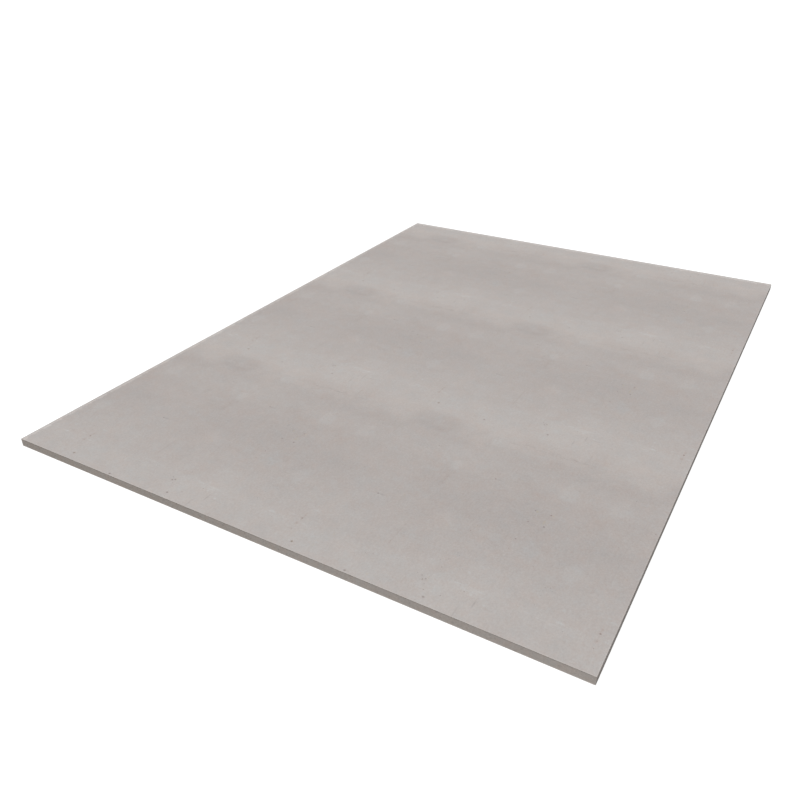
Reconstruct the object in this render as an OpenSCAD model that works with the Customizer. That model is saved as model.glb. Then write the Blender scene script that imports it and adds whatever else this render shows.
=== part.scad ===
// Roofing cover board: one flat, plain-faced piece of fibre-reinforced cement.
//
// It lies face up, centred on the origin, with its underside at Z = 0. The two long
// edges are formed with the board, so their arrises are a little eased. The two ends
// are sawn to length, so theirs are as crisp as cement keeps.

/* [Board] */
// Length along the formed edges, along X
board_length = 1250; // [100:1:3000]
// Width between the formed edges, along Y
board_width = 900; // [100:1:1500]
// Thickness, from the underside to the face
board_thickness = 12.5; // [6:0.1:30]

/* [Edges] */
// Arris radius along the formed long edges, face and underside
formed_arris = 0.5; // [0.2:0.1:2.9]
// Arris radius along the sawn ends, face and underside
sawn_arris = 0.3; // [0.2:0.1:2.9]
// Radius of the four upright corners, seen from above
corner_radius = 0.5; // [0.2:0.1:20]

/* [Hidden] */

cement_grey = [0.71, 0.685, 0.67];
// How far each bar runs past the board before the three are trimmed to one another
overrun = 10;
$fn = 64;

// One corner's disc, tucked into the corner of a rectangle centred on the origin
module corner_disc(size, side, radius) {
    translate([side[0] * (size[0] / 2 - radius), side[1] * (size[1] / 2 - radius)])
        circle(r = radius);
}

// What a corner loses to its rounding: the square outside the disc
module corner_waste(size, side, radius) {
    difference() {
        translate([side[0] * size[0] / 2, side[1] * size[1] / 2])
            square(2 * radius, center = true);
        corner_disc(size, side, radius);
    }
}

// Rectangle centred on the origin, with all four corners rounded
module eased_rectangle(size, radius) {
    difference() {
        square(size, center = true);
        for (x_side = [-1, 1], y_side = [-1, 1])
            corner_waste(size, [x_side, y_side], radius);
    }
}

// Endless bar along X with the section between the formed edges
module formed_bar() {
    rotate([90, 0, 90])
        linear_extrude(height = board_length + overrun, center = true)
            eased_rectangle([board_width, board_thickness], formed_arris);
}

// Endless bar along Y with the section between the sawn ends
module sawn_bar() {
    rotate([90, 0, 0])
        linear_extrude(height = board_width + overrun, center = true)
            eased_rectangle([board_length, board_thickness], sawn_arris);
}

// The outline seen from above, as an upright block
module outline_block() {
    linear_extrude(height = board_thickness + overrun, center = true)
        eased_rectangle([board_length, board_width], corner_radius);
}

// The board is what all three have in common
module cover_board() {
    color(cement_grey)
        translate([0, 0, board_thickness / 2])
            intersection() {
                formed_bar();
                sawn_bar();
                outline_block();
            }
}

cover_board();
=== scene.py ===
"""Roofing cover board of fibre-reinforced cement, lying face up on a pale floor.

The board is one closed mesh, built round the CAD solid's box: crisp worn arrises, torn grain on the two sawn
ends, shallow dents along the two formed edges, and a face with the small air holes that casting leaves.
Lengths are in metres. Places on the face are in millimetres from the corner of the -X end and the -Y edge.
"""

import math
import random

import bpy
import numpy as np
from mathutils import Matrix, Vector, noise
from mathutils.geometry import delaunay_2d_cdt


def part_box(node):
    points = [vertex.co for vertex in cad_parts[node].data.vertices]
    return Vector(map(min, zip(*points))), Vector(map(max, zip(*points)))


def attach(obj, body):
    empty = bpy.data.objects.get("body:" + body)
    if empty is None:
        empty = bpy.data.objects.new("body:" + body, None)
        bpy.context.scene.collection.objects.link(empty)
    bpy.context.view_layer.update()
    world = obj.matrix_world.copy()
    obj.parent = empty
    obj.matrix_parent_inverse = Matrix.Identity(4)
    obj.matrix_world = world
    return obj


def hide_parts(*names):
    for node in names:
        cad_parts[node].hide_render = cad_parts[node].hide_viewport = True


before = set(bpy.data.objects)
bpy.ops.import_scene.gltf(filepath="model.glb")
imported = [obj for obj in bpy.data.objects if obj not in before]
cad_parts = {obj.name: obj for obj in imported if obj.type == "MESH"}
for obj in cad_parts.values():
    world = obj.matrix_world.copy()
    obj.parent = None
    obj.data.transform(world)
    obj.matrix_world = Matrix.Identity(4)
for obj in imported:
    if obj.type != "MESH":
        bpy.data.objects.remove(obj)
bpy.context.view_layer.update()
LOW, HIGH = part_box("cover_board")

MM = 0.001
LENGTH, WIDTH, THICKNESS = HIGH - LOW
CENTRE = (LOW + HIGH) / 2
SEED = 7
rng = random.Random(SEED)

# The casting belt leaves the same mottling on the face again and again, at this pitch both ways
PITCH = 400 * MM
# One step of 255 on the lit face, as a share of its colour
LEVEL = 0.0125
# Noise between 0 and 1 mostly keeps within an eighth of its middle, so swing() stretches it by this
NOISE_STRETCH = 8
# A speck's radius at full level and at none, as a share of its cell
SPECK_EDGE = (0.15, 0.38)


# ---------------------------------------------------------------- node helpers


def put(tree, kind, inputs=None, **settings):
    """Adds a node, sets its properties, and links or sets its inputs."""
    node = tree.nodes.new(kind)
    for key, value in settings.items():
        setattr(node, key, value)
    for key, value in (inputs or {}).items():
        if isinstance(value, bpy.types.NodeSocket):
            tree.links.new(value, node.inputs[key])
        else:
            node.inputs[key].default_value = value
    return node


def calc(tree, operation, *values):
    """A Math node's result."""
    return put(tree, "ShaderNodeMath", dict(enumerate(values)), operation=operation).outputs[0]


def vector(tree, operation, *values):
    """A Vector Math node's result."""
    node = put(tree, "ShaderNodeVectorMath", dict(enumerate(values)), operation=operation)
    return node.outputs["Value" if operation == "LENGTH" else "Vector"]


def total(tree, values):
    """The sum of several results."""
    result = values[0]
    for value in values[1:]:
        result = calc(tree, "ADD", result, value)
    return result


def fade(tree, value, start, end, at_start, at_end):
    """at_start up to start, at_end from end on, and a smooth change between them."""
    inputs = {0: value, 1: start, 2: end, 3: at_start, 4: at_end}
    return put(tree, "ShaderNodeMapRange", inputs, interpolation_type="SMOOTHSTEP").outputs[0]


def swing(tree, value, level):
    """Turns noise between 0 and 1 into a value that mostly lies within plus or minus level."""
    reach = NOISE_STRETCH * level
    return calc(tree, "MULTIPLY_ADD", value, reach, -reach / 2)


def ripple(tree, place, size, level, detail=3.0, rough=0.55):
    """Noise within about plus or minus level. size is its patches' size, or three sizes along X, Y and Z."""
    scaled = vector(tree, "DIVIDE", place, size if isinstance(size, tuple) else (size,) * 3)
    inputs = {"Vector": scaled, "Scale": 1.0, "Detail": detail, "Roughness": rough}
    return swing(tree, put(tree, "ShaderNodeTexNoise", inputs).outputs[0], level)


def specks(tree, place, size, share, level):
    """Small round dots in a grid of cells of that size. About that share of the cells has one."""
    scaled = vector(tree, "DIVIDE", place, (size,) * 3)
    node = put(tree, "ShaderNodeTexVoronoi", {"Vector": scaled, "Scale": 1.0, "Randomness": 1.0})
    dot = fade(tree, node.outputs["Distance"], *SPECK_EDGE, level, 0.0)
    chosen = put(tree, "ShaderNodeSeparateColor", {0: node.outputs["Color"]}).outputs[0]
    return calc(tree, "MULTIPLY", dot, calc(tree, "LESS_THAN", chosen, share))


def new_material(name):
    material = bpy.data.materials.new(name)
    material.use_nodes = True
    material.node_tree.nodes.clear()
    return material, material.node_tree


def link_object(name, data):
    item = bpy.data.objects.new(name, data)
    bpy.context.scene.collection.objects.link(item)
    return item


# ---------------------------------------------------------------- camera, light and floor

VIEW_HEADING = math.radians(30)  # from +X towards +Y
VIEW_PITCH = math.radians(30)  # below the horizon
VIEW_DISTANCE = 1.2902
VIEW_TARGET = Vector((CENTRE.x - 0.2342, CENTRE.y + 0.0087, HIGH.z))  # on the face, nearer its -X end
VIEW_LENS = 35.1
VIEW_SENSOR = 36.0

WHITE = (1, 1, 1, 1)
# What each adds to the face, which is lit at a level of 1
SKY_LEVEL = 0.36
LAMP_LEVEL = 0.64
LAMP_FROM = Vector((-0.50, 0.0, 1.0))  # high over the -X end
LAMP_SPREAD = math.radians(25)
FLOOR_REACH = 60.0
FLOOR_DROP = 0.1 * MM  # below the underside, so that the two don't share a plane
# The floor's grey as the board is lit by it, and its grey and its glow as the camera sees it
FLOOR_BOUNCE = 0.38
FLOOR_SHOWN = 0.42
FLOOR_GLOW = 0.74


def make_camera():
    """The camera looks down on the face, over the corner between the -X end and the -Y edge."""
    forward = Vector((
        math.cos(VIEW_PITCH) * math.cos(VIEW_HEADING),
        math.cos(VIEW_PITCH) * math.sin(VIEW_HEADING),
        -math.sin(VIEW_PITCH),
    ))
    camera = link_object("camera", bpy.data.cameras.new("camera"))
    camera.data.lens = VIEW_LENS
    camera.data.sensor_width = VIEW_SENSOR
    camera.location = VIEW_TARGET - VIEW_DISTANCE * forward
    camera.rotation_mode = "QUATERNION"
    camera.rotation_quaternion = forward.to_track_quat("-Z", "Y")
    bpy.context.scene.camera = camera


def shown_directly(tree):
    """1 where the camera, a reflection or a clear surface looks at this, and 0 where it only gives light."""
    path = put(tree, "ShaderNodeLightPath")
    seen = calc(tree, "MAXIMUM", path.outputs["Is Camera Ray"], path.outputs["Is Glossy Ray"])
    return calc(tree, "MAXIMUM", seen, path.outputs["Is Transmission Ray"])


def make_light():
    """A broad lamp overhead and an even surround, which shows white."""
    lamp = link_object("key_lamp", bpy.data.lights.new("key_lamp", "SUN"))
    lamp.data.energy = LAMP_LEVEL * math.pi * LAMP_FROM.length / LAMP_FROM.z
    lamp.data.angle = LAMP_SPREAD
    lamp.rotation_mode = "QUATERNION"
    lamp.rotation_quaternion = LAMP_FROM.to_track_quat("Z", "Y")

    world = bpy.data.worlds.new("surround")
    world.use_nodes = True
    bpy.context.scene.world = world
    tree = world.node_tree
    tree.nodes.clear()
    lighting = put(tree, "ShaderNodeBackground", {"Color": WHITE, "Strength": SKY_LEVEL})
    backdrop = put(tree, "ShaderNodeBackground", {"Color": WHITE, "Strength": 1.0})
    inputs = {0: shown_directly(tree), 1: lighting.outputs[0], 2: backdrop.outputs[0]}
    mix = put(tree, "ShaderNodeMixShader", inputs)
    put(tree, "ShaderNodeOutputWorld", {"Surface": mix.outputs[0]})


def make_floor():
    """A level floor that shows white and keeps the board's shadow."""
    reach, height = FLOOR_REACH, LOW.z - FLOOR_DROP
    mesh = bpy.data.meshes.new("floor")
    corners = [(-reach, -reach), (reach, -reach), (reach, reach), (-reach, reach)]
    mesh.from_pydata([(x, y, height) for x, y in corners], [], [(0, 1, 2, 3)])
    floor = link_object("floor", mesh)

    material, tree = new_material("floor_white")
    bounce = put(tree, "ShaderNodeBsdfDiffuse", {"Color": (FLOOR_BOUNCE,) * 3 + (1,)})
    shown = put(tree, "ShaderNodeBsdfDiffuse", {"Color": (FLOOR_SHOWN,) * 3 + (1,)})
    glow = put(tree, "ShaderNodeEmission", {"Color": WHITE, "Strength": FLOOR_GLOW})
    both = put(tree, "ShaderNodeAddShader", {0: shown.outputs[0], 1: glow.outputs[0]})
    inputs = {0: shown_directly(tree), 1: bounce.outputs[0], 2: both.outputs[0]}
    mix = put(tree, "ShaderNodeMixShader", inputs)
    put(tree, "ShaderNodeOutputMaterial", {"Surface": mix.outputs[0]})
    mesh.materials.append(material)


# ---------------------------------------------------------------- the board's mesh

# The four sides: -Y edge, +X end, +Y edge, -X end. So a side with an even number is a formed edge, and one
# with an odd number is a sawn end
OUTWARD = [Vector((0, -1)), Vector((1, 0)), Vector((0, 1)), Vector((-1, 0))]
STEP_ALONG = 2.5 * MM  # between stations on the outline
CORNER_RADIUS = 0.5 * MM
CORNER_STEPS = 4
FORMED_ARRIS = 0.5 * MM
SAWN_ARRIS = 0.3 * MM
ARRIS_STEPS = 3
ARRIS_WEAR = 0.35  # how far an arris strays from its radius, as a share
ARRIS_WEAR_SIZE = 9 * MM
WALL_STEPS = 6
GUARD = 0.3 * MM  # a narrow band inside each arris, which keeps the shading of the flat sheets flat
TORN_DEPTH, TORN_SIZE = 0.14 * MM, 3.2 * MM
DENT_DEPTH, DENT_SIZE = 0.9 * MM, 7 * MM
DENT_RARITY = 0.3  # a dent forms only where its noise is above this
FACE_WAVE, FACE_WAVE_SIZE = 0.12 * MM, 230 * MM
FACE_STEP, BACK_STEP = 11 * MM, 14 * MM  # between the points of a flat sheet
# Loops of points that lead from the fine rim to the coarse sheet: how far inside, and how far apart
RIM_LOOPS = [(4 * MM, 5 * MM), (10 * MM, 8 * MM)]
LATTICE_INSET = 17 * MM

# Air holes in the face: where in the pitch, and how wide
PINHOLES = [
    ((200, 134), 2.3), ((227, 134), 2.1), ((200, 156), 1.7), ((227, 156), 1.7),
    ((160, 156.5), 1.6), ((139, 157), 1.2), ((123, 118), 0.9), ((203, 261), 0.9), ((43, 172), 1.3),
    ((12, 209), 2.5), ((37, 224), 1.7), ((39.6, 220.6), 1.7), ((43, 227.5), 1.3), ((32, 218.7), 1.0),
    ((4, 312), 2.7), ((15, 399), 3.1), ((59, 15), 2.0), ((47, 15), 1.0), ((35, 15), 1.1),
    ((302, 339), 1.4), ((155, 357), 2.0), ((266, 231), 1.8), ((257, 5), 1.3), ((78, 292), 0.9),
    ((64, 93.5), 1.1), ((81, 93), 0.8), ((96, 204), 0.8), ((100, 208), 0.8), ((67, 213.8), 1.1),
    ((84, 213), 0.9), ((78, 221), 0.8), ((94, 83.5), 1.0), ((98.5, 87), 1.0), ((23.5, 193), 1.2),
    ((46, 298), 1.1), ((53, 268), 1.0), ((160.5, 209.5), 1.0), ((146, 213), 1.1), ((44, 234), 0.9),
    ((96.5, 92.7), 0.8), ((90, 93.5), 0.8), ((22.5, 214.5), 1.1), ((41.5, 52), 1.0),
    ((142, 92), 0.9), ((208.5, 39), 0.9), ((313, 45), 0.9), ((43, 307), 0.9), ((172.5, 398.8), 0.9),
]
PIT_SPREAD = 0.06  # how far an air hole strays from its width, as a share
PIT_DEPTH = 0.55  # of its width
PIT_RAGGED = 0.1  # how far a ring's points stray from its radius, as a share
# An air hole's rings: radius as a share, depth as a share, points, and how much of the painted shade in the
# hole it holds
PIT_RINGS = [
    (1.8, 0.0, 10, 0.0), (1.0, 0.0, 10, 0.6), (0.75, 0.55, 8, 1.0), (0.4, 0.95, 5, 1.0), (0.0, 1.0, 1, 1.0),
]
PIT_CLEARANCE = 2.2  # of its radius, kept free of other points
NO_HOLES = np.empty((0, 3))
# For the triangulation: keep what lies inside the border, and the distance at which two points are one
INSIDE_BORDER, SAME_POINT = 1, 1e-7


def outline(end_inset, edge_inset):
    """Stations round the board, counter-clockwise, at those insets from its ends and edges.

    Each is (point, outward, side). side counts OUTWARD, and a corner goes with the side before it."""
    found = []
    for side, out in enumerate(OUTWARD):
        along = OUTWARD[(side + 1) % 4]
        on_end = side % 2 == 1
        across = (LENGTH / 2 - end_inset if on_end else WIDTH / 2 - edge_inset) - CORNER_RADIUS
        reach = (WIDTH / 2 - edge_inset if on_end else LENGTH / 2 - end_inset) - CORNER_RADIUS
        pivot = CENTRE.xy + out * across
        count = round((WIDTH if on_end else LENGTH) / STEP_ALONG)
        for i in range(count):
            found.append((pivot + along * reach * (2 * i / count - 1) + out * CORNER_RADIUS, out, side))
        for i in range(CORNER_STEPS):
            angle = math.pi / 2 * i / CORNER_STEPS
            turned = out * math.cos(angle) + along * math.sin(angle)
            found.append((pivot + along * reach + turned * CORNER_RADIUS, turned, side))
    return found


def edge_section(radius):
    """A square edge with that arris, from the underside to the face: (inset, height) of each ring."""
    quarter = [math.pi / 2 * i / ARRIS_STEPS for i in range(ARRIS_STEPS + 1)]
    wall = THICKNESS - 2 * radius
    return [
        (radius + GUARD, 0.0),
        *[(radius * (1 - math.sin(a)), radius * (1 - math.cos(a))) for a in quarter],
        *[(0.0, radius + wall * i / WALL_STEPS) for i in range(1, WALL_STEPS)],
        *[(radius * (1 - math.cos(a)), THICKNESS - radius * (1 - math.sin(a))) for a in quarter],
        (radius + GUARD, THICKNESS),
    ]


def wall_relief(point, height, on_end):
    """How far the wall lies inside the outline: torn grain on a sawn end, shallow dents on a formed edge."""
    place = Vector((point.x, point.y, height))
    torn = TORN_DEPTH * (1 + noise.noise(place / TORN_SIZE))
    dents = DENT_DEPTH * max(0.0, noise.noise(place / DENT_SIZE) - DENT_RARITY)
    return on_end * torn + (1 - on_end) * dents


def face_drop(x, y):
    """How far the face lies below flat."""
    return FACE_WAVE * (1 + noise.noise(Vector((x, y, 0)) / FACE_WAVE_SIZE)) / 2


def edge_ring(end, edge):
    """One ring of the board's edge, from its (inset, height) on the sawn ends and on the formed edges."""
    ring = []
    for point, out, _ in outline(end[0], edge[0]):
        on_end = out.x**2
        inset = on_end * end[0] + (1 - on_end) * edge[0]
        height = on_end * end[1] + (1 - on_end) * edge[1]
        worn = ARRIS_WEAR * inset * noise.noise(Vector((point.x, point.y, height)) / ARRIS_WEAR_SIZE)
        if inset == 0.0:
            worn = wall_relief(point, height, on_end)
        x, y = point - out * worn
        ring.append((x, y, LOW.z + height - face_drop(x, y) * height / THICKNESS))
    return ring


def air_holes():
    """Every air hole on the face as rows of x, y and radius: one of each kind where a pitch has room."""
    found = []
    for i in range(math.ceil(LENGTH / PITCH)):
        for j in range(math.ceil(WIDTH / PITCH)):
            for (x, y), width in PINHOLES:
                x, y = x * MM + i * PITCH, y * MM + j * PITCH
                radius = width / 2 * MM * rng.uniform(1 - PIT_SPREAD, 1 + PIT_SPREAD)
                room = min(x, y, LENGTH - x, WIDTH - y) - FORMED_ARRIS - GUARD
                if room > PIT_CLEARANCE * radius:
                    found.append((LOW.x + x, LOW.y + y, radius))
    return np.array(found)


def air_hole_points(x, y, radius):
    """The rings of one air hole: (x, y, depth, painted shade)."""
    found = []
    for share, depth, count, pit_shade in PIT_RINGS:
        start = rng.uniform(0, math.tau)
        for k in range(count):
            reach = radius * share * rng.uniform(1 - PIT_RAGGED, 1 + PIT_RAGGED)
            angle = start + math.tau * k / count
            dip = depth * PIT_DEPTH * 2 * radius
            found.append((x + reach * math.cos(angle), y + reach * math.sin(angle), dip, pit_shade))
    return found


def lattice(step):
    """Points over the sheet that triangulate evenly, with finer loops near the rim: rows of x, y."""
    found = []
    for inset, gap in RIM_LOOPS:
        half = Vector((LENGTH / 2 - inset, WIDTH / 2 - inset))
        for turn, out in enumerate(OUTWARD):
            along = OUTWARD[(turn + 1) % 4]
            across, reach = (half.x, half.y) if turn % 2 else (half.y, half.x)
            count = round(2 * reach / gap)
            found += [CENTRE.xy + out * across + along * reach * (2 * i / count - 1) for i in range(count)]
    half = Vector((LENGTH / 2 - LATTICE_INSET, WIDTH / 2 - LATTICE_INSET))
    rows = round(2 * half.y / (step * math.sin(math.pi / 3)))
    columns = round(2 * half.x / step)
    for j in range(rows + 1):
        shift = j % 2 / 2
        for i in range(columns + 1 - j % 2):
            x = half.x * (2 * (i + shift) / columns - 1)
            found.append(CENTRE.xy + Vector((x, half.y * (2 * j / rows - 1))))
    return np.array(found)


def sheet(rim, step, holes):
    """Fills a rim of (x, y) with triangles, which are finer round the holes.

    Returns the points added, as (x, y, depth, painted shade), and the triangles, which count the rim first."""
    grid = lattice(step)
    if len(holes):
        gaps = np.linalg.norm(grid[:, None, :] - holes[None, :, :2], axis=2)
        grid = grid[(gaps > PIT_CLEARANCE * holes[None, :, 2]).all(axis=1)]
    added = [(x, y, 0.0, 0.0) for x, y in grid]
    for x, y, radius in holes:
        added += air_hole_points(x, y, radius)
    coords = [Vector(point) for point in rim] + [Vector(point[:2]) for point in added]
    border = [(k, (k + 1) % len(rim)) for k in range(len(rim))]
    _, _, triangles, sources, _, _ = delaunay_2d_cdt(coords, border, [], INSIDE_BORDER, SAME_POINT)
    if len(sources) != len(coords):
        raise ValueError("two points of a sheet fall together")
    return added, [[sources[v][0] for v in triangle] for triangle in triangles]


def make_board():
    """The board's mesh and, for each of its faces, the part it belongs to: back, face or a side's number."""
    rings = [edge_ring(*pair) for pair in zip(edge_section(SAWN_ARRIS), edge_section(FORMED_ARRIS))]
    sides = [side for _, _, side in outline(0.0, 0.0)]
    around = len(sides)
    verts = [vert for ring in rings for vert in ring]
    pit_shade = [0.0] * len(verts)
    faces, parts = [], []
    rows = len(rings) - 1
    sheet_rows = 1 + ARRIS_STEPS // 2  # the guard and the nearer half of the arris go with the flat sheet
    for k in range(rows):
        flat = "back" if k < sheet_rows else "face" if k >= rows - sheet_rows else None
        for i in range(around):
            j = (i + 1) % around
            faces.append([k * around + i, k * around + j, (k + 1) * around + j, (k + 1) * around + i])
            parts.append(flat or sides[i])

    for name, step, holes in (("back", BACK_STEP, NO_HOLES), ("face", FACE_STEP, air_holes())):
        first = 0 if name == "back" else rows * around
        added, triangles = sheet([vert[:2] for vert in verts[first:first + around]], step, holes)
        shift = len(verts) - around
        for x, y, depth, hole_pit_shade in added:
            verts.append((x, y, LOW.z if name == "back" else HIGH.z - face_drop(x, y) - depth))
            pit_shade.append(hole_pit_shade)
        for triangle in triangles:
            numbers = [v + (first if v < around else shift) for v in triangle]
            faces.append(numbers if name == "face" else numbers[::-1])
            parts.append(name)

    mesh = bpy.data.meshes.new("board")
    mesh.from_pydata(verts, [], faces)
    # The mesh attribute holds each point's share of the painted shade in the air holes
    mesh.attributes.new("pit_shade", "FLOAT", "POINT").data.foreach_set("value", pit_shade)
    mesh.shade_smooth()
    return link_object("board", mesh), parts


# ---------------------------------------------------------------- the map that textures are baked on

MAP_EDGE = 0.004
FACE_SHARE = 0.935  # of the map's width that the face's length takes
STRIP_GAP = 0.004


def lay_out(board, parts):
    """Lays the face across most of the map, the four walls up its right side, and the underside below."""
    scale = FACE_SHARE / LENGTH
    face_height = WIDTH * scale
    back_low = MAP_EDGE + face_height + STRIP_GAP
    back_scale = (1 - MAP_EDGE - back_low) / WIDTH
    wall_scale = (back_low - 2 * MAP_EDGE) / LENGTH
    layer = board.data.uv_layers.new(name="OFBake")
    coords = np.empty(len(board.data.vertices) * 3)
    board.data.vertices.foreach_get("co", coords)
    coords = coords.reshape(-1, 3) - np.array(LOW)
    uv = np.empty((len(board.data.loops), 2))
    for polygon, part in zip(board.data.polygons, parts):
        place = coords[list(polygon.vertices)]
        if part == "face":
            found = place[:, :2] * scale + MAP_EDGE
        elif part == "back":
            found = place[:, :2] * back_scale + (MAP_EDGE, back_low)
        else:
            column = MAP_EDGE + FACE_SHARE + STRIP_GAP + part * (THICKNESS * scale + STRIP_GAP)
            travel = place[:, 0 if part % 2 == 0 else 1]
            found = np.stack([column + place[:, 2] * scale, MAP_EDGE + travel * wall_scale], axis=1)
        uv[polygon.loop_start:polygon.loop_start + polygon.loop_total] = found
    layer.uv.foreach_set("vector", uv.ravel())


# ---------------------------------------------------------------- colours and marks

FACE_COLOUR = (0.4465, 0.411, 0.3936)
BACK_COLOUR = (0.410, 0.380, 0.362)
SAWN_COLOUR = (0.405, 0.366, 0.338)
FORMED_COLOUR = (0.350, 0.315, 0.290)
SPECULAR = 0.25  # a dry, dusty surface shines little
ROUGHNESS = 0.86
DULLING = (30 * MM, 0.03)  # patches of other roughness: their size and how much
# The relief of the grain: its size, level, detail and roughness, and how high it stands
RELIEF_GRAIN = (1.6 * MM, 0.5, 4.0, 0.6)
RELIEF_HEIGHT = 0.15 * MM
FACE_RELIEF, PLAIN_RELIEF = 0.25, 0.5  # the share of it that shows on the face and on the other sides
# How much a level of each kind of layer changes red, green and blue
TINTS = {
    "tone": (0.985, 1.025, 0.98),  # lighter or darker
    "film": (0.56, 1.0, 1.2),  # a film of grey laitance. Where it is thin, the cement shows browner
    "chill": (-0.9, 0.05, 0.6),  # cooler or rustier at the same brightness
    "stain": (0.4, 0.1, -1.0),  # ochre
}

# The bands that lie across the board: where in the pitch in mm, and the tone and film there, in levels
BANDS = [
    (0, 4.6, 0.8), (20, 3.0, 1.8), (55, 2.4, 1.8), (70, 2.2, 0.0), (92, 0.4, 0.5), (130, -0.7, -0.2),
    (155, -2.4, 0.4), (188, -3.9, 0.7), (215, -3.0, 0.0), (252, -1.4, -1.2), (272, -0.3, -0.6),
    (295, -0.7, 0.0), (325, -2.0, 0.0), (341, -1.4, -0.2), (350, 1.2, -0.8), (370, 3.6, -1.0),
    (388, 5.0, -0.8), (400, 4.4, 0.6),
]
BAND_RANGE = 8.0  # the greatest level that a colour of the bands' ramp can stand for

WELL_INSIDE = (0.25, 0.75)  # a mark this far along a pitch, as a share, reaches over neither end of it
# Marks on the face: where in the pitch and half sizes along X and Y in mm, and level.
# Soft clouds, which change the tone
CLOUDS = [
    ((30, 168), (50, 72), 2.5),
    ((70, 155), (48, 42), 2.2),
    ((12, 212), (34, 26), 1.0),
    ((215, 170), (80, 120), -1.3),
    ((200, 375), (110, 70), 2.3),
    ((95, 20), (30, 35), 1.7),
    ((105, 393), (45, 28), 1.7),
    ((68, 319), (44, 48), -1.4),
    ((95, 262), (45, 32), -1.9),
    ((160, 90), (38, 38), -1.4),
    ((278, 190), (30, 26), -2.8),
    ((320, 130), (34, 44), -2.0),
    ((325, 262), (42, 36), 1.6),
    ((372, 118), (42, 22), -3.0),
    ((378, 265), (48, 80), 2.5),
    ((362, 45), (22, 34), 2.4),
    ((390, 190), (20, 24), 3.2),
    ((390, 66), (22, 20), 2.9),
    ((150, 251), (20, 19), 3.1),
    ((343, 292), (25, 18), 3.5),
    ((296, 338), (26, 12), 1.6),
    ((12, 38), (20, 17), -2.3),
    ((94, 119), (24, 17), 2.2),
    ((150, 126), (26, 16), -1.4),
    ((270, 290), (20, 28), 1.9),
    ((246, 387), (26, 22), -1.9),
    ((30, 398), (26, 18), 1.8),
    ((322, 26), (26, 24), -1.6),
    ((341, 94), (22, 22), -1.6),
    ((212, 12), (24, 20), 1.6),
    ((92, 80), (22, 20), -1.5),
]
# The round damp mark, which has a firmer rim
DAMP_MARK = ((364, 372), (35, 52), -5.6)
DAMP_CORE = 0.5
# Patches of film, thicker or thinner than round about
PATCHES = [
    ((137, 73), (24, 18), 3.8),
    ((145, 140), (17, 22), 1.0),
    ((152, 180), (13, 15), 2.0),
    ((125, 195), (18, 13), 2.0),
    ((90, 60), (22, 20), 0.8),
    ((15, 82), (32, 18), 1.2),
    ((157, 115), (13, 9), -2.0),
    ((185, 35), (26, 26), -1.4),
    ((138, 170), (28, 9), -1.8),
    ((283, 57), (24, 18), 3.8),
    ((282, 128), (24, 17), 3.3),
    ((262, 90), (15, 14), -2.7),
    ((240, 72), (18, 10), -2.2),
    ((265, 165), (12, 14), -3.0),
    ((340, 170), (18, 18), -1.8),
    ((320, 75), (24, 38), -1.2),
    ((390, 107), (22, 16), -2.4),
    ((90, 275), (24, 13), 0.6),
    ((15, 300), (28, 30), 0.8),
    ((90, 350), (34, 20), 1.1),
    ((105, 292), (16, 14), -2.0),
    ((115, 365), (15, 20), -1.0),
    ((175, 230), (15, 11), -0.5),
    ((165, 275), (40, 24), -1.2),
    ((270, 293), (17, 13), 4.3),
    ((303, 298), (22, 19), 2.4),
    ((275, 318), (18, 10), 2.6),
    ((297, 320), (17, 13), 2.6),
    ((280, 265), (22, 16), 1.8),
    ((240, 293), (28, 9), -2.2),
    ((218, 308), (17, 24), -0.8),
    ((243, 318), (11, 9), 3.4),
    ((255, 356), (12, 10), -3.2),
    ((350, 348), (16, 16), -0.8),
    ((360, 368), (18, 14), 2.6),
    ((340, 380), (10, 16), 1.4),
    ((366, 397), (14, 10), 1.6),
    ((356, 260), (17, 18), 1.8),
    ((5, 385), (52, 34), 1.0),
    ((22, 212), (44, 22), 1.4),
    ((75, 163), (26, 16), 1.0),
]
PATCH_CORE = 0.45  # share of a patch that is at full level
# Cooler and rustier places of the same brightness
CHILLS = [
    ((145, 140), (20, 24), 0.9),
    ((220, 62), (28, 18), 0.9),
    ((75, 163), (26, 18), 1.2),
    ((12, 188), (18, 16), 0.8),
    ((32, 270), (48, 28), 0.8),
    ((30, 364), (44, 22), 0.9),
    ((293, 358), (27, 20), 1.8),
    ((212, 288), (18, 16), 0.9),
    ((236, 312), (18, 14), 0.9),
    ((322, 296), (32, 40), -1.0),
    ((388, 272), (18, 26), 0.9),
    ((38, 327), (46, 24), -1.5),
    ((22, 98), (36, 26), 0.7),
    ((238, 187), (18, 14), 0.8),
    ((150, 251), (20, 19), -1.2),
    ((149, 384), (34, 24), 1.3),
    ((96, 86), (7, 8), 1.6),
    ((98, 208), (8, 8), 1.6),
    ((136, 292), (24, 22), 1.2),
    ((129, 224), (18, 34), 1.1),
    ((312, 174), (22, 20), 0.9),
    ((74, 280), (22, 20), 0.9),
    ((26, 154), (22, 18), -1.1),
    ((138, 122), (18, 14), -1.2),
    ((77, 88), (18, 16), -1.1),
    ((342, 16), (24, 20), -1.0),
    ((348, 128), (22, 22), -1.0),
]
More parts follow.
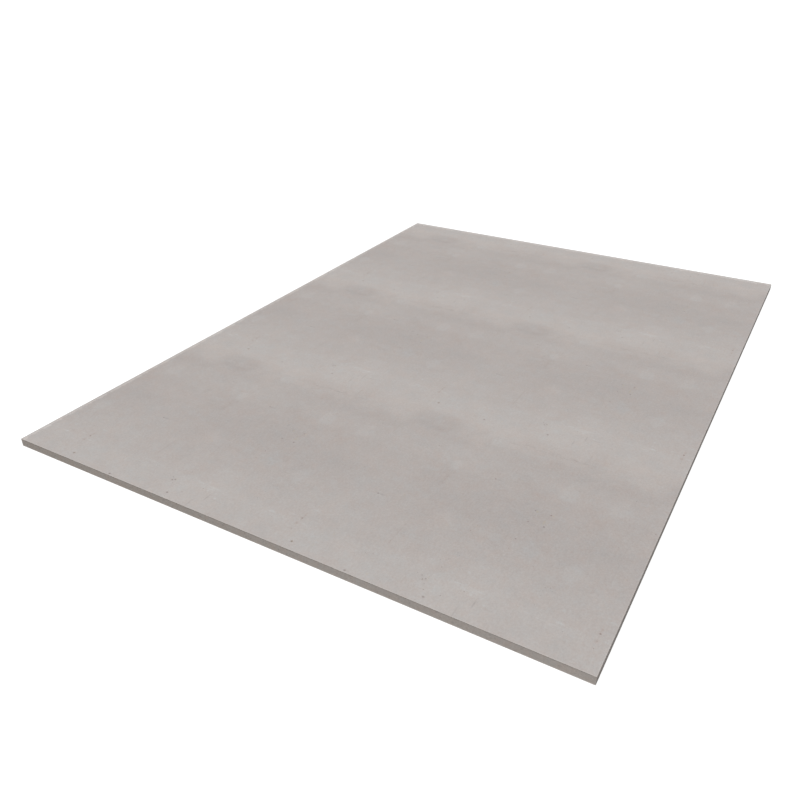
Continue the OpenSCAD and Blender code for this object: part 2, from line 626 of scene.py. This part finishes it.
# Thin scratches, smears and flecks of film
SCRATCHES = [
    ((63, 15), (16, 2.2), -5.5),
    ((47.5, 15.5), (6, 4.6), -8.0),
    ((66, 14.3), (4, 2.6), -5.5),
    ((92, 291.5), (42, 1.8), -4.5),
    ((242, 67), (24, 1.8), -1.6),
    ((235, 293), (26, 1.8), -2.5),
    ((383, 131), (18, 2.0), -8.5),
    ((112, 43.5), (30, 1.4), -3.0),
    ((45, 28), (20, 1.6), -3.5),
    ((25, 243), (14, 1.8), -5.0),
    ((39, 222), (8, 9), -3.2),
    ((227, 156), (5, 4), -2.0),
    ((29.5, 137.5), (2.6, 8), -7.5),
    ((51.6, 57.5), (2.0, 9), 12.0),
    ((51, 157), (2.0, 13), 7.0),
    ((52.5, 183), (2.0, 11), 9.5),
    ((54.5, 175), (2.4, 4), 5.0),
    ((51, 215), (2.6, 3), 7.0),
    ((42, 163), (2.8, 3.6), 10.0),
    ((34, 143), (2.8, 2.6), 12.0),
    ((43, 149), (2.6, 3.2), 7.0),
    ((59, 173), (4.0, 2.2), 5.5),
    ((75, 181), (3.6, 3.2), 8.5),
    ((72, 61), (3.6, 3.2), 7.5),
    ((48, 94), (2.4, 7), 3.5),
    ((60, 31), (2.4, 7), 5.5),
    ((20, 11.5), (26, 1.5), 3.5),
    ((50, 6), (2.4, 6), 7.5),
    ((81, 6), (2.4, 8), 7.0),
    ((355, 272), (13, 2.2), 5.0),
    ((40, 319.5), (4.5, 2.8), 6.5),
    ((48, 307), (3.0, 5), 4.0),
    ((113, 308), (3.5, 3), 4.5),
    ((197, 295.5), (3, 2.4), 9.0),
    ((137.5, 229.5), (2.8, 2.4), 8.0),
    ((196, 208.5), (8, 5), -4.0),
]
# Small ochre stains, most of them beside air holes
STAINS = [
    ((209, 137), (9, 1.8), 8.0),
    ((208, 132.5), (7, 1.3), 4.0),
    ((226, 153), (3.8, 2.6), 9.0),
    ((226.5, 131), (3.2, 2.4), 7.0),
    ((15, 399), (3.5, 3), 5.0),
    ((22, 371.5), (3.4, 2.2), 4.5),
    ((12, 285), (3.6, 2.0), 4.5),
    ((43, 219), (3, 2.4), 4.0),
    ((38, 217.5), (3, 2.4), 4.0),
    ((52, 360.5), (3.6, 2.2), 4.0),
    ((169, 324), (5, 2.4), 3.5),
    ((141, 244), (4.5, 2.8), 3.0),
    ((158, 209.5), (3, 2.4), 4.0),
    ((280, 196), (3, 2.4), 3.5),
    ((40, 274), (3, 2.4), 3.0),
]
# Narrow grey scratches, and shadows beside the larger air holes, which change the tone
SHADOWS = [
    ((30, 153.7), (11, 1.6), -14.0),
    ((9, 167.4), (14, 1.6), -9.5),
    ((259, 11), (2.4, 11), -2.5),
    ((266, 226), (2.6, 10), -6.5),
    ((155, 351), (2.8, 10), -11.0),
    ((302, 335), (3.2, 8), -4.0),
    ((235, 171), (5, 5), -7.5),
]
# Runs of fine strands along Y: chalky film, and the grey of a seam in the belt
CHALK = [
    ((48, 65), (7, 26), 10.0),
    ((48, 100), (6, 40), 5.5),
    ((49, 165), (9, 52), 7.5),
    ((52, 285), (12, 40), 6.5),
]
SEAM = [
    ((365, 145), (6, 36), -10.0),
    ((365, 190), (6, 140), -13.0),
]
STRANDS = ((1.3 * MM, 26 * MM, 1.0), 0.5)  # the noise that draws them: its sizes along X, Y and Z, and level
STRAND_EDGE = (-0.15, 0.6)  # the noise at which strands start, and at which they are at full level

# Noise that repeats at the pitch: patch size, detail, roughness and a seed of its own
DRIFT = (18 * MM, 3.0, 0.5, 1.0)
MOTTLE = (26 * MM, 6.0, 0.85, 3.0)
SHADE = (40 * MM, 5.0, 0.65, 5.0)
FLAKES = (15 * MM, 4.0, 0.6, 7.0)
COOLNESS = (22 * MM, 5.0, 0.8, 9.0)
DRIFT_REACH = 30 * MM  # how far drift warps the bands and the larger marks
MOTTLE_STRETCH = 1.5  # how much longer the mottle is along Y than across
MOTTLE_LEVEL, SHADE_LEVEL, COOLNESS_LEVEL = 1.8, 0.3, 1.6
FLAKE_EDGE, FLAKE_LEVELS = (0.50, 0.60), (-0.6, 1.0)  # the noise at which a flake starts and is full
# Finer unevenness of the face, which doesn't repeat: patch size and level
BRUSHING = ((120 * MM, 1.6 * MM, 1.0), 0.5)
GRAIN = (2.0 * MM, 2.1)
BLOTCHES = (5 * MM, 0.7)
BLOOM = (3.2 * MM, 2.1)
FACE_SPECKS = (7 * MM, 0.12, -2.5)  # cell size, the share of cells with one, and level
HOLE_TONE, HOLE_FILM = -16.0, -7.0  # what the painted shade in an air hole adds

# The face's margin on each side, in OUTWARD's order: how wide its pale band is in mm, the band's level, and
# the change of level from there to the very rim, which is painted shade along the arrises of the +X end and
# +Y edge
MARGIN_BANDS_AND_SHADE = [(1.2, 5.0, 0.0), (9.2, 15.0, -28.0), (5.4, 17.0, -34.0), (1.2, 4.0, 0.0)]
PALE_BAND_EDGE = (0.8, 1.4)  # where a pale band starts to fade and where it ends, as a share of its width
ARRIS_SHADE_EDGE = (0.1, 0.45)  # where the painted arris shade starts to fade and where it ends, as a share of that width
RAGGED = (9 * MM, 0.35, 4.0, 0.6)  # what makes a pale band ragged: its size, level, detail and roughness

# Unevenness of the other sides: patch size and level in tone, grain level, and speck level
BACK_LAYERS = (60 * MM, 2.0, 1.4, 6.0)
FORMED_LAYERS = (40 * MM, 1.2, 1.4, 5.0)
SAWN_LAYERS = (36 * MM, 1.5, 3.3, 11.0)
PLAIN_GRAIN = 2.2 * MM
DARK_SPECKS, PALE_SPECKS = (5 * MM, 0.3), (3.7 * MM, 0.3)  # cell size and the share of cells with one
PLAIN_FILM, PLAIN_CHILL = (6 * MM, 1.0), (12 * MM, 1.3)  # patch size and level
# How the tone changes along X on the formed edges, as painted shade that darkens them towards +X, and tone
# and stain along Y on the sawn ends
FORMED_SHADE = (-1.0, -13.0)
SAWN_TONES, SAWN_STAINS = (4.0, -9.8), (-0.3, 1.6)


# ---------------------------------------------------------------- marks that repeat at the pitch


def belt_place(tree, at, stretch=1.0):
    """A 4-D place that comes back to where it was after each pitch, along X and along Y: (vector, w).

    stretch draws out along Y what is made with it."""
    radius = PITCH / math.tau
    turns = put(tree, "ShaderNodeSeparateXYZ", {0: vector(tree, "DIVIDE", at, (radius, radius, 1.0))})
    found = []
    for turn, reach in ((turns.outputs[0], radius), (turns.outputs[1], radius / stretch)):
        for operation in ("COSINE", "SINE"):
            found.append(calc(tree, "MULTIPLY", calc(tree, operation, turn), reach))
    return put(tree, "ShaderNodeCombineXYZ", dict(enumerate(found[:3]))).outputs[0], found[3]


def belt_noise(tree, belt, size, detail, rough, seed):
    """Noise that repeats at the pitch."""
    inputs = {
        "Vector": vector(tree, "ADD", belt[0], (seed, 0.0, 0.0)), "W": belt[1],
        "Scale": 1 / size, "Detail": detail, "Roughness": rough,
    }
    return put(tree, "ShaderNodeTexNoise", inputs, noise_dimensions="4D")


def in_pitch(tree, at):
    """The place within one pitch, counted from 0 or from half a pitch before it along X and along Y."""
    found = {}
    for x_start in (0.0, -PITCH / 2):
        for y_start in (0.0, -PITCH / 2):
            limits = (x_start + PITCH, y_start + PITCH, 1.0), (x_start, y_start, -1.0)
            found[x_start, y_start] = vector(tree, "WRAP", at, *limits)
    return found


def mark(tree, places, place, size, level, core=0.0):
    """An oval of that half size at a place in each pitch. core is the share of its size at full level.

    It is drawn with the count that it lies well inside of."""
    starts, scales, shifts = [], [], []
    for along, half_size in zip(place, size):
        share = along * MM / PITCH
        inside = WELL_INSIDE[0] < share < WELL_INSIDE[1]
        starts.append(0.0 if inside else -PITCH / 2)
        scales.append(1 / (half_size * MM))
        shifts.append((round(share) * PITCH * (not inside) - along * MM) * scales[-1])
    offset = vector(tree, "MULTIPLY_ADD", places[tuple(starts)], (*scales, 0.0), (*shifts, 0.0))
    return fade(tree, vector(tree, "LENGTH", offset), core, 1.0, level, 0.0)


def marks(tree, places, rows, core=0.0):
    """Several marks' results, one of each."""
    return [mark(tree, places, *row, core) for row in rows]


def bands(tree, place):
    """The tone and the film of the bands that lie across the board."""
    x = put(tree, "ShaderNodeSeparateXYZ", {0: place}).outputs[0]
    ramp = put(tree, "ShaderNodeValToRGB", {0: calc(tree, "DIVIDE", x, PITCH)})
    ramp.color_ramp.interpolation = "CARDINAL"
    stops = ramp.color_ramp.elements
    stops.remove(stops[1])
    for start, tone, film in BANDS:
        stop = stops.new(start * MM / PITCH) if start else stops[0]
        stop.color = (0.5 + tone / (2 * BAND_RANGE), 0.5 + film / (2 * BAND_RANGE), 0.0, 1.0)
    split = put(tree, "ShaderNodeSeparateColor", {0: ramp.outputs[0]})
    return [calc(tree, "MULTIPLY_ADD", split.outputs[i], 2 * BAND_RANGE, -BAND_RANGE) for i in range(2)]


def pale_bands_and_arris_shade(tree, place):
    """Pale bands along the face's margins, and a darker rim outside them, which is painted shade on the
    arrises.
    """
    split = put(tree, "ShaderNodeSeparateXYZ", {0: place})
    ragged = ripple(tree, place, *RAGGED)
    pale_band, rim = 0.0, 0.0
    for out, (width, pale_band_level, arris_shade_change) in zip(OUTWARD, MARGIN_BANDS_AND_SHADE):
        axis = 0 if out.x else 1
        reach = calc(tree, "SUBTRACT", HIGH[axis], split.outputs[axis])
        if out[axis] < 0:
            reach = calc(tree, "SUBTRACT", split.outputs[axis], LOW[axis])
        share = calc(tree, "MULTIPLY", reach, 1 / (width * MM))
        # The rim's darkening is painted shade on the arris
        rim = calc(tree, "MINIMUM", rim, fade(tree, share, *ARRIS_SHADE_EDGE, arris_shade_change, 0.0))
        share = calc(tree, "ADD", share, ragged)
        pale_band = calc(tree, "MAXIMUM", pale_band, fade(tree, share, *PALE_BAND_EDGE, pale_band_level, 0.0))
    return [pale_band, rim]


# ---------------------------------------------------------------- materials


def cement(name, colour, layers, relief):
    """A matt cement with fine grain in its relief. layers(tree, place) gives each kind's layers in levels."""
    material, tree = new_material(name)
    place = put(tree, "ShaderNodeTexCoord").outputs["Object"]
    sums = {kind: total(tree, values) for kind, values in layers(tree, place).items()}
    shares = []
    for channel in range(3):
        level = 0.0
        for kind, value in sums.items():
            level = calc(tree, "MULTIPLY_ADD", value, TINTS[kind][channel], level)
        shares.append(calc(tree, "MULTIPLY_ADD", level, LEVEL, 1.0))
    factor = put(tree, "ShaderNodeCombineXYZ", dict(enumerate(shares))).outputs[0]
    grain = ripple(tree, place, *RELIEF_GRAIN)
    bumped = put(tree, "ShaderNodeBump", {"Height": grain, "Strength": relief, "Distance": RELIEF_HEIGHT})
    shader = put(tree, "ShaderNodeBsdfPrincipled", {
        "Base Color": vector(tree, "MULTIPLY", colour, factor),
        "Roughness": calc(tree, "ADD", ROUGHNESS, ripple(tree, place, *DULLING)),
        "Normal": bumped.outputs[0],
        "Specular IOR Level": SPECULAR,
    })
    put(tree, "ShaderNodeOutputMaterial", {"Surface": shader.outputs[0]})
    return material


def face_layers(tree, place):
    """The face: bands and marks that repeat at the pitch, over grain that doesn't."""
    corner = vector(tree, "SUBTRACT", place, tuple(LOW))
    belt = belt_place(tree, corner)
    drift = vector(tree, "SUBTRACT", belt_noise(tree, belt, *DRIFT).outputs["Color"], (0.5, 0.5, 0.5))
    wander = vector(tree, "MULTIPLY", drift, (DRIFT_REACH, DRIFT_REACH, 0.0))
    drifted = in_pitch(tree, vector(tree, "ADD", corner, wander))
    straight = in_pitch(tree, corner)

    tone, film = bands(tree, drifted[0.0, 0.0])
    strands = fade(tree, ripple(tree, corner, *STRANDS), *STRAND_EDGE, 0.0, 1.0)
    chalk = total(tree, marks(tree, drifted, CHALK))
    seam = total(tree, marks(tree, drifted, SEAM))
    mottle = belt_noise(tree, belt_place(tree, corner, MOTTLE_STRETCH), *MOTTLE).outputs[0]
    flakes = belt_noise(tree, belt, *FLAKES).outputs[0]
    # Painted shade inside the air holes, carried by a mesh attribute
    pit_shade = put(tree, "ShaderNodeAttribute", attribute_name="pit_shade").outputs["Fac"]
    tones = [
        tone,
        *marks(tree, drifted, CLOUDS),
        *marks(tree, straight, [DAMP_MARK], DAMP_CORE),
        *marks(tree, straight, SHADOWS),
        # Pale bands at the margins, and painted shade on the arrises of the +X end and +Y edge
        *pale_bands_and_arris_shade(tree, place),
        calc(tree, "MULTIPLY", seam, strands),
        calc(tree, "MULTIPLY", pit_shade, HOLE_TONE),
        swing(tree, belt_noise(tree, belt, *SHADE).outputs[0], SHADE_LEVEL),
        ripple(tree, place, *BRUSHING),
        ripple(tree, place, *GRAIN),
        ripple(tree, place, *BLOTCHES),
    ]
    films = [
        film,
        *marks(tree, drifted, PATCHES, PATCH_CORE),
        *marks(tree, straight, SCRATCHES),
        calc(tree, "MULTIPLY", chalk, strands),
        calc(tree, "MULTIPLY", pit_shade, HOLE_FILM),
        swing(tree, mottle, MOTTLE_LEVEL),
        fade(tree, flakes, *FLAKE_EDGE, *FLAKE_LEVELS),
        ripple(tree, place, *BLOOM),
        specks(tree, place, *FACE_SPECKS),
    ]
    chills = [
        swing(tree, belt_noise(tree, belt, *COOLNESS).outputs[0], COOLNESS_LEVEL),
        *marks(tree, drifted, CHILLS),
    ]
    return {"tone": tones, "film": films, "chill": chills, "stain": marks(tree, straight, STAINS)}


def plain_layers(tree, place, patch, patch_level, grain_level, speck_level):
    """A side that has only grain, specks and broad patches."""
    tones = [
        ripple(tree, place, patch, patch_level),
        ripple(tree, place, PLAIN_GRAIN, grain_level),
        specks(tree, place, *DARK_SPECKS, -speck_level),
        specks(tree, place, *PALE_SPECKS, speck_level / 2),
    ]
    film = ripple(tree, place, *PLAIN_FILM)
    chill = ripple(tree, place, *PLAIN_CHILL)
    return {"tone": tones, "film": [film], "chill": [chill]}


def slope(tree, place, axis, levels):
    """A change from one level to another over the whole board along X, 0, or Y, 1."""
    along = put(tree, "ShaderNodeSeparateXYZ", {0: place}).outputs[axis]
    return fade(tree, along, LOW[axis], HIGH[axis], *levels)


def back_layers(tree, place):
    return plain_layers(tree, place, *BACK_LAYERS)


def formed_layers(tree, place):
    layers = plain_layers(tree, place, *FORMED_LAYERS)
    # Painted shade: the formed edges get darker towards +X
    layers["tone"].append(slope(tree, place, 0, FORMED_SHADE))
    return layers


def sawn_layers(tree, place):
    layers = plain_layers(tree, place, *SAWN_LAYERS)
    layers["tone"].append(slope(tree, place, 1, SAWN_TONES))
    layers["stain"] = [slope(tree, place, 1, SAWN_STAINS)]
    return layers


def dress(board, parts):
    """Gives each part of the board its own cement."""
    finishes = [
        cement("cement_face", FACE_COLOUR, face_layers, FACE_RELIEF),
        cement("cement_back", BACK_COLOUR, back_layers, PLAIN_RELIEF),
        cement("cement_formed_edge", FORMED_COLOUR, formed_layers, PLAIN_RELIEF),
        cement("cement_sawn_end", SAWN_COLOUR, sawn_layers, PLAIN_RELIEF),
    ]
    for finish in finishes:
        board.data.materials.append(finish)
    flat_slots = {"face": 0, "back": 1}
    slots = [flat_slots[part] if part in flat_slots else 2 + part % 2 for part in parts]
    board.data.polygons.foreach_set("material_index", slots)


# ---------------------------------------------------------------- the scene

make_camera()
make_light()
make_floor()
board, board_parts = make_board()
lay_out(board, board_parts)
dress(board, board_parts)
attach(board, "root")
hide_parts("cover_board")

bpy.context.scene.view_settings.view_transform = "Standard"
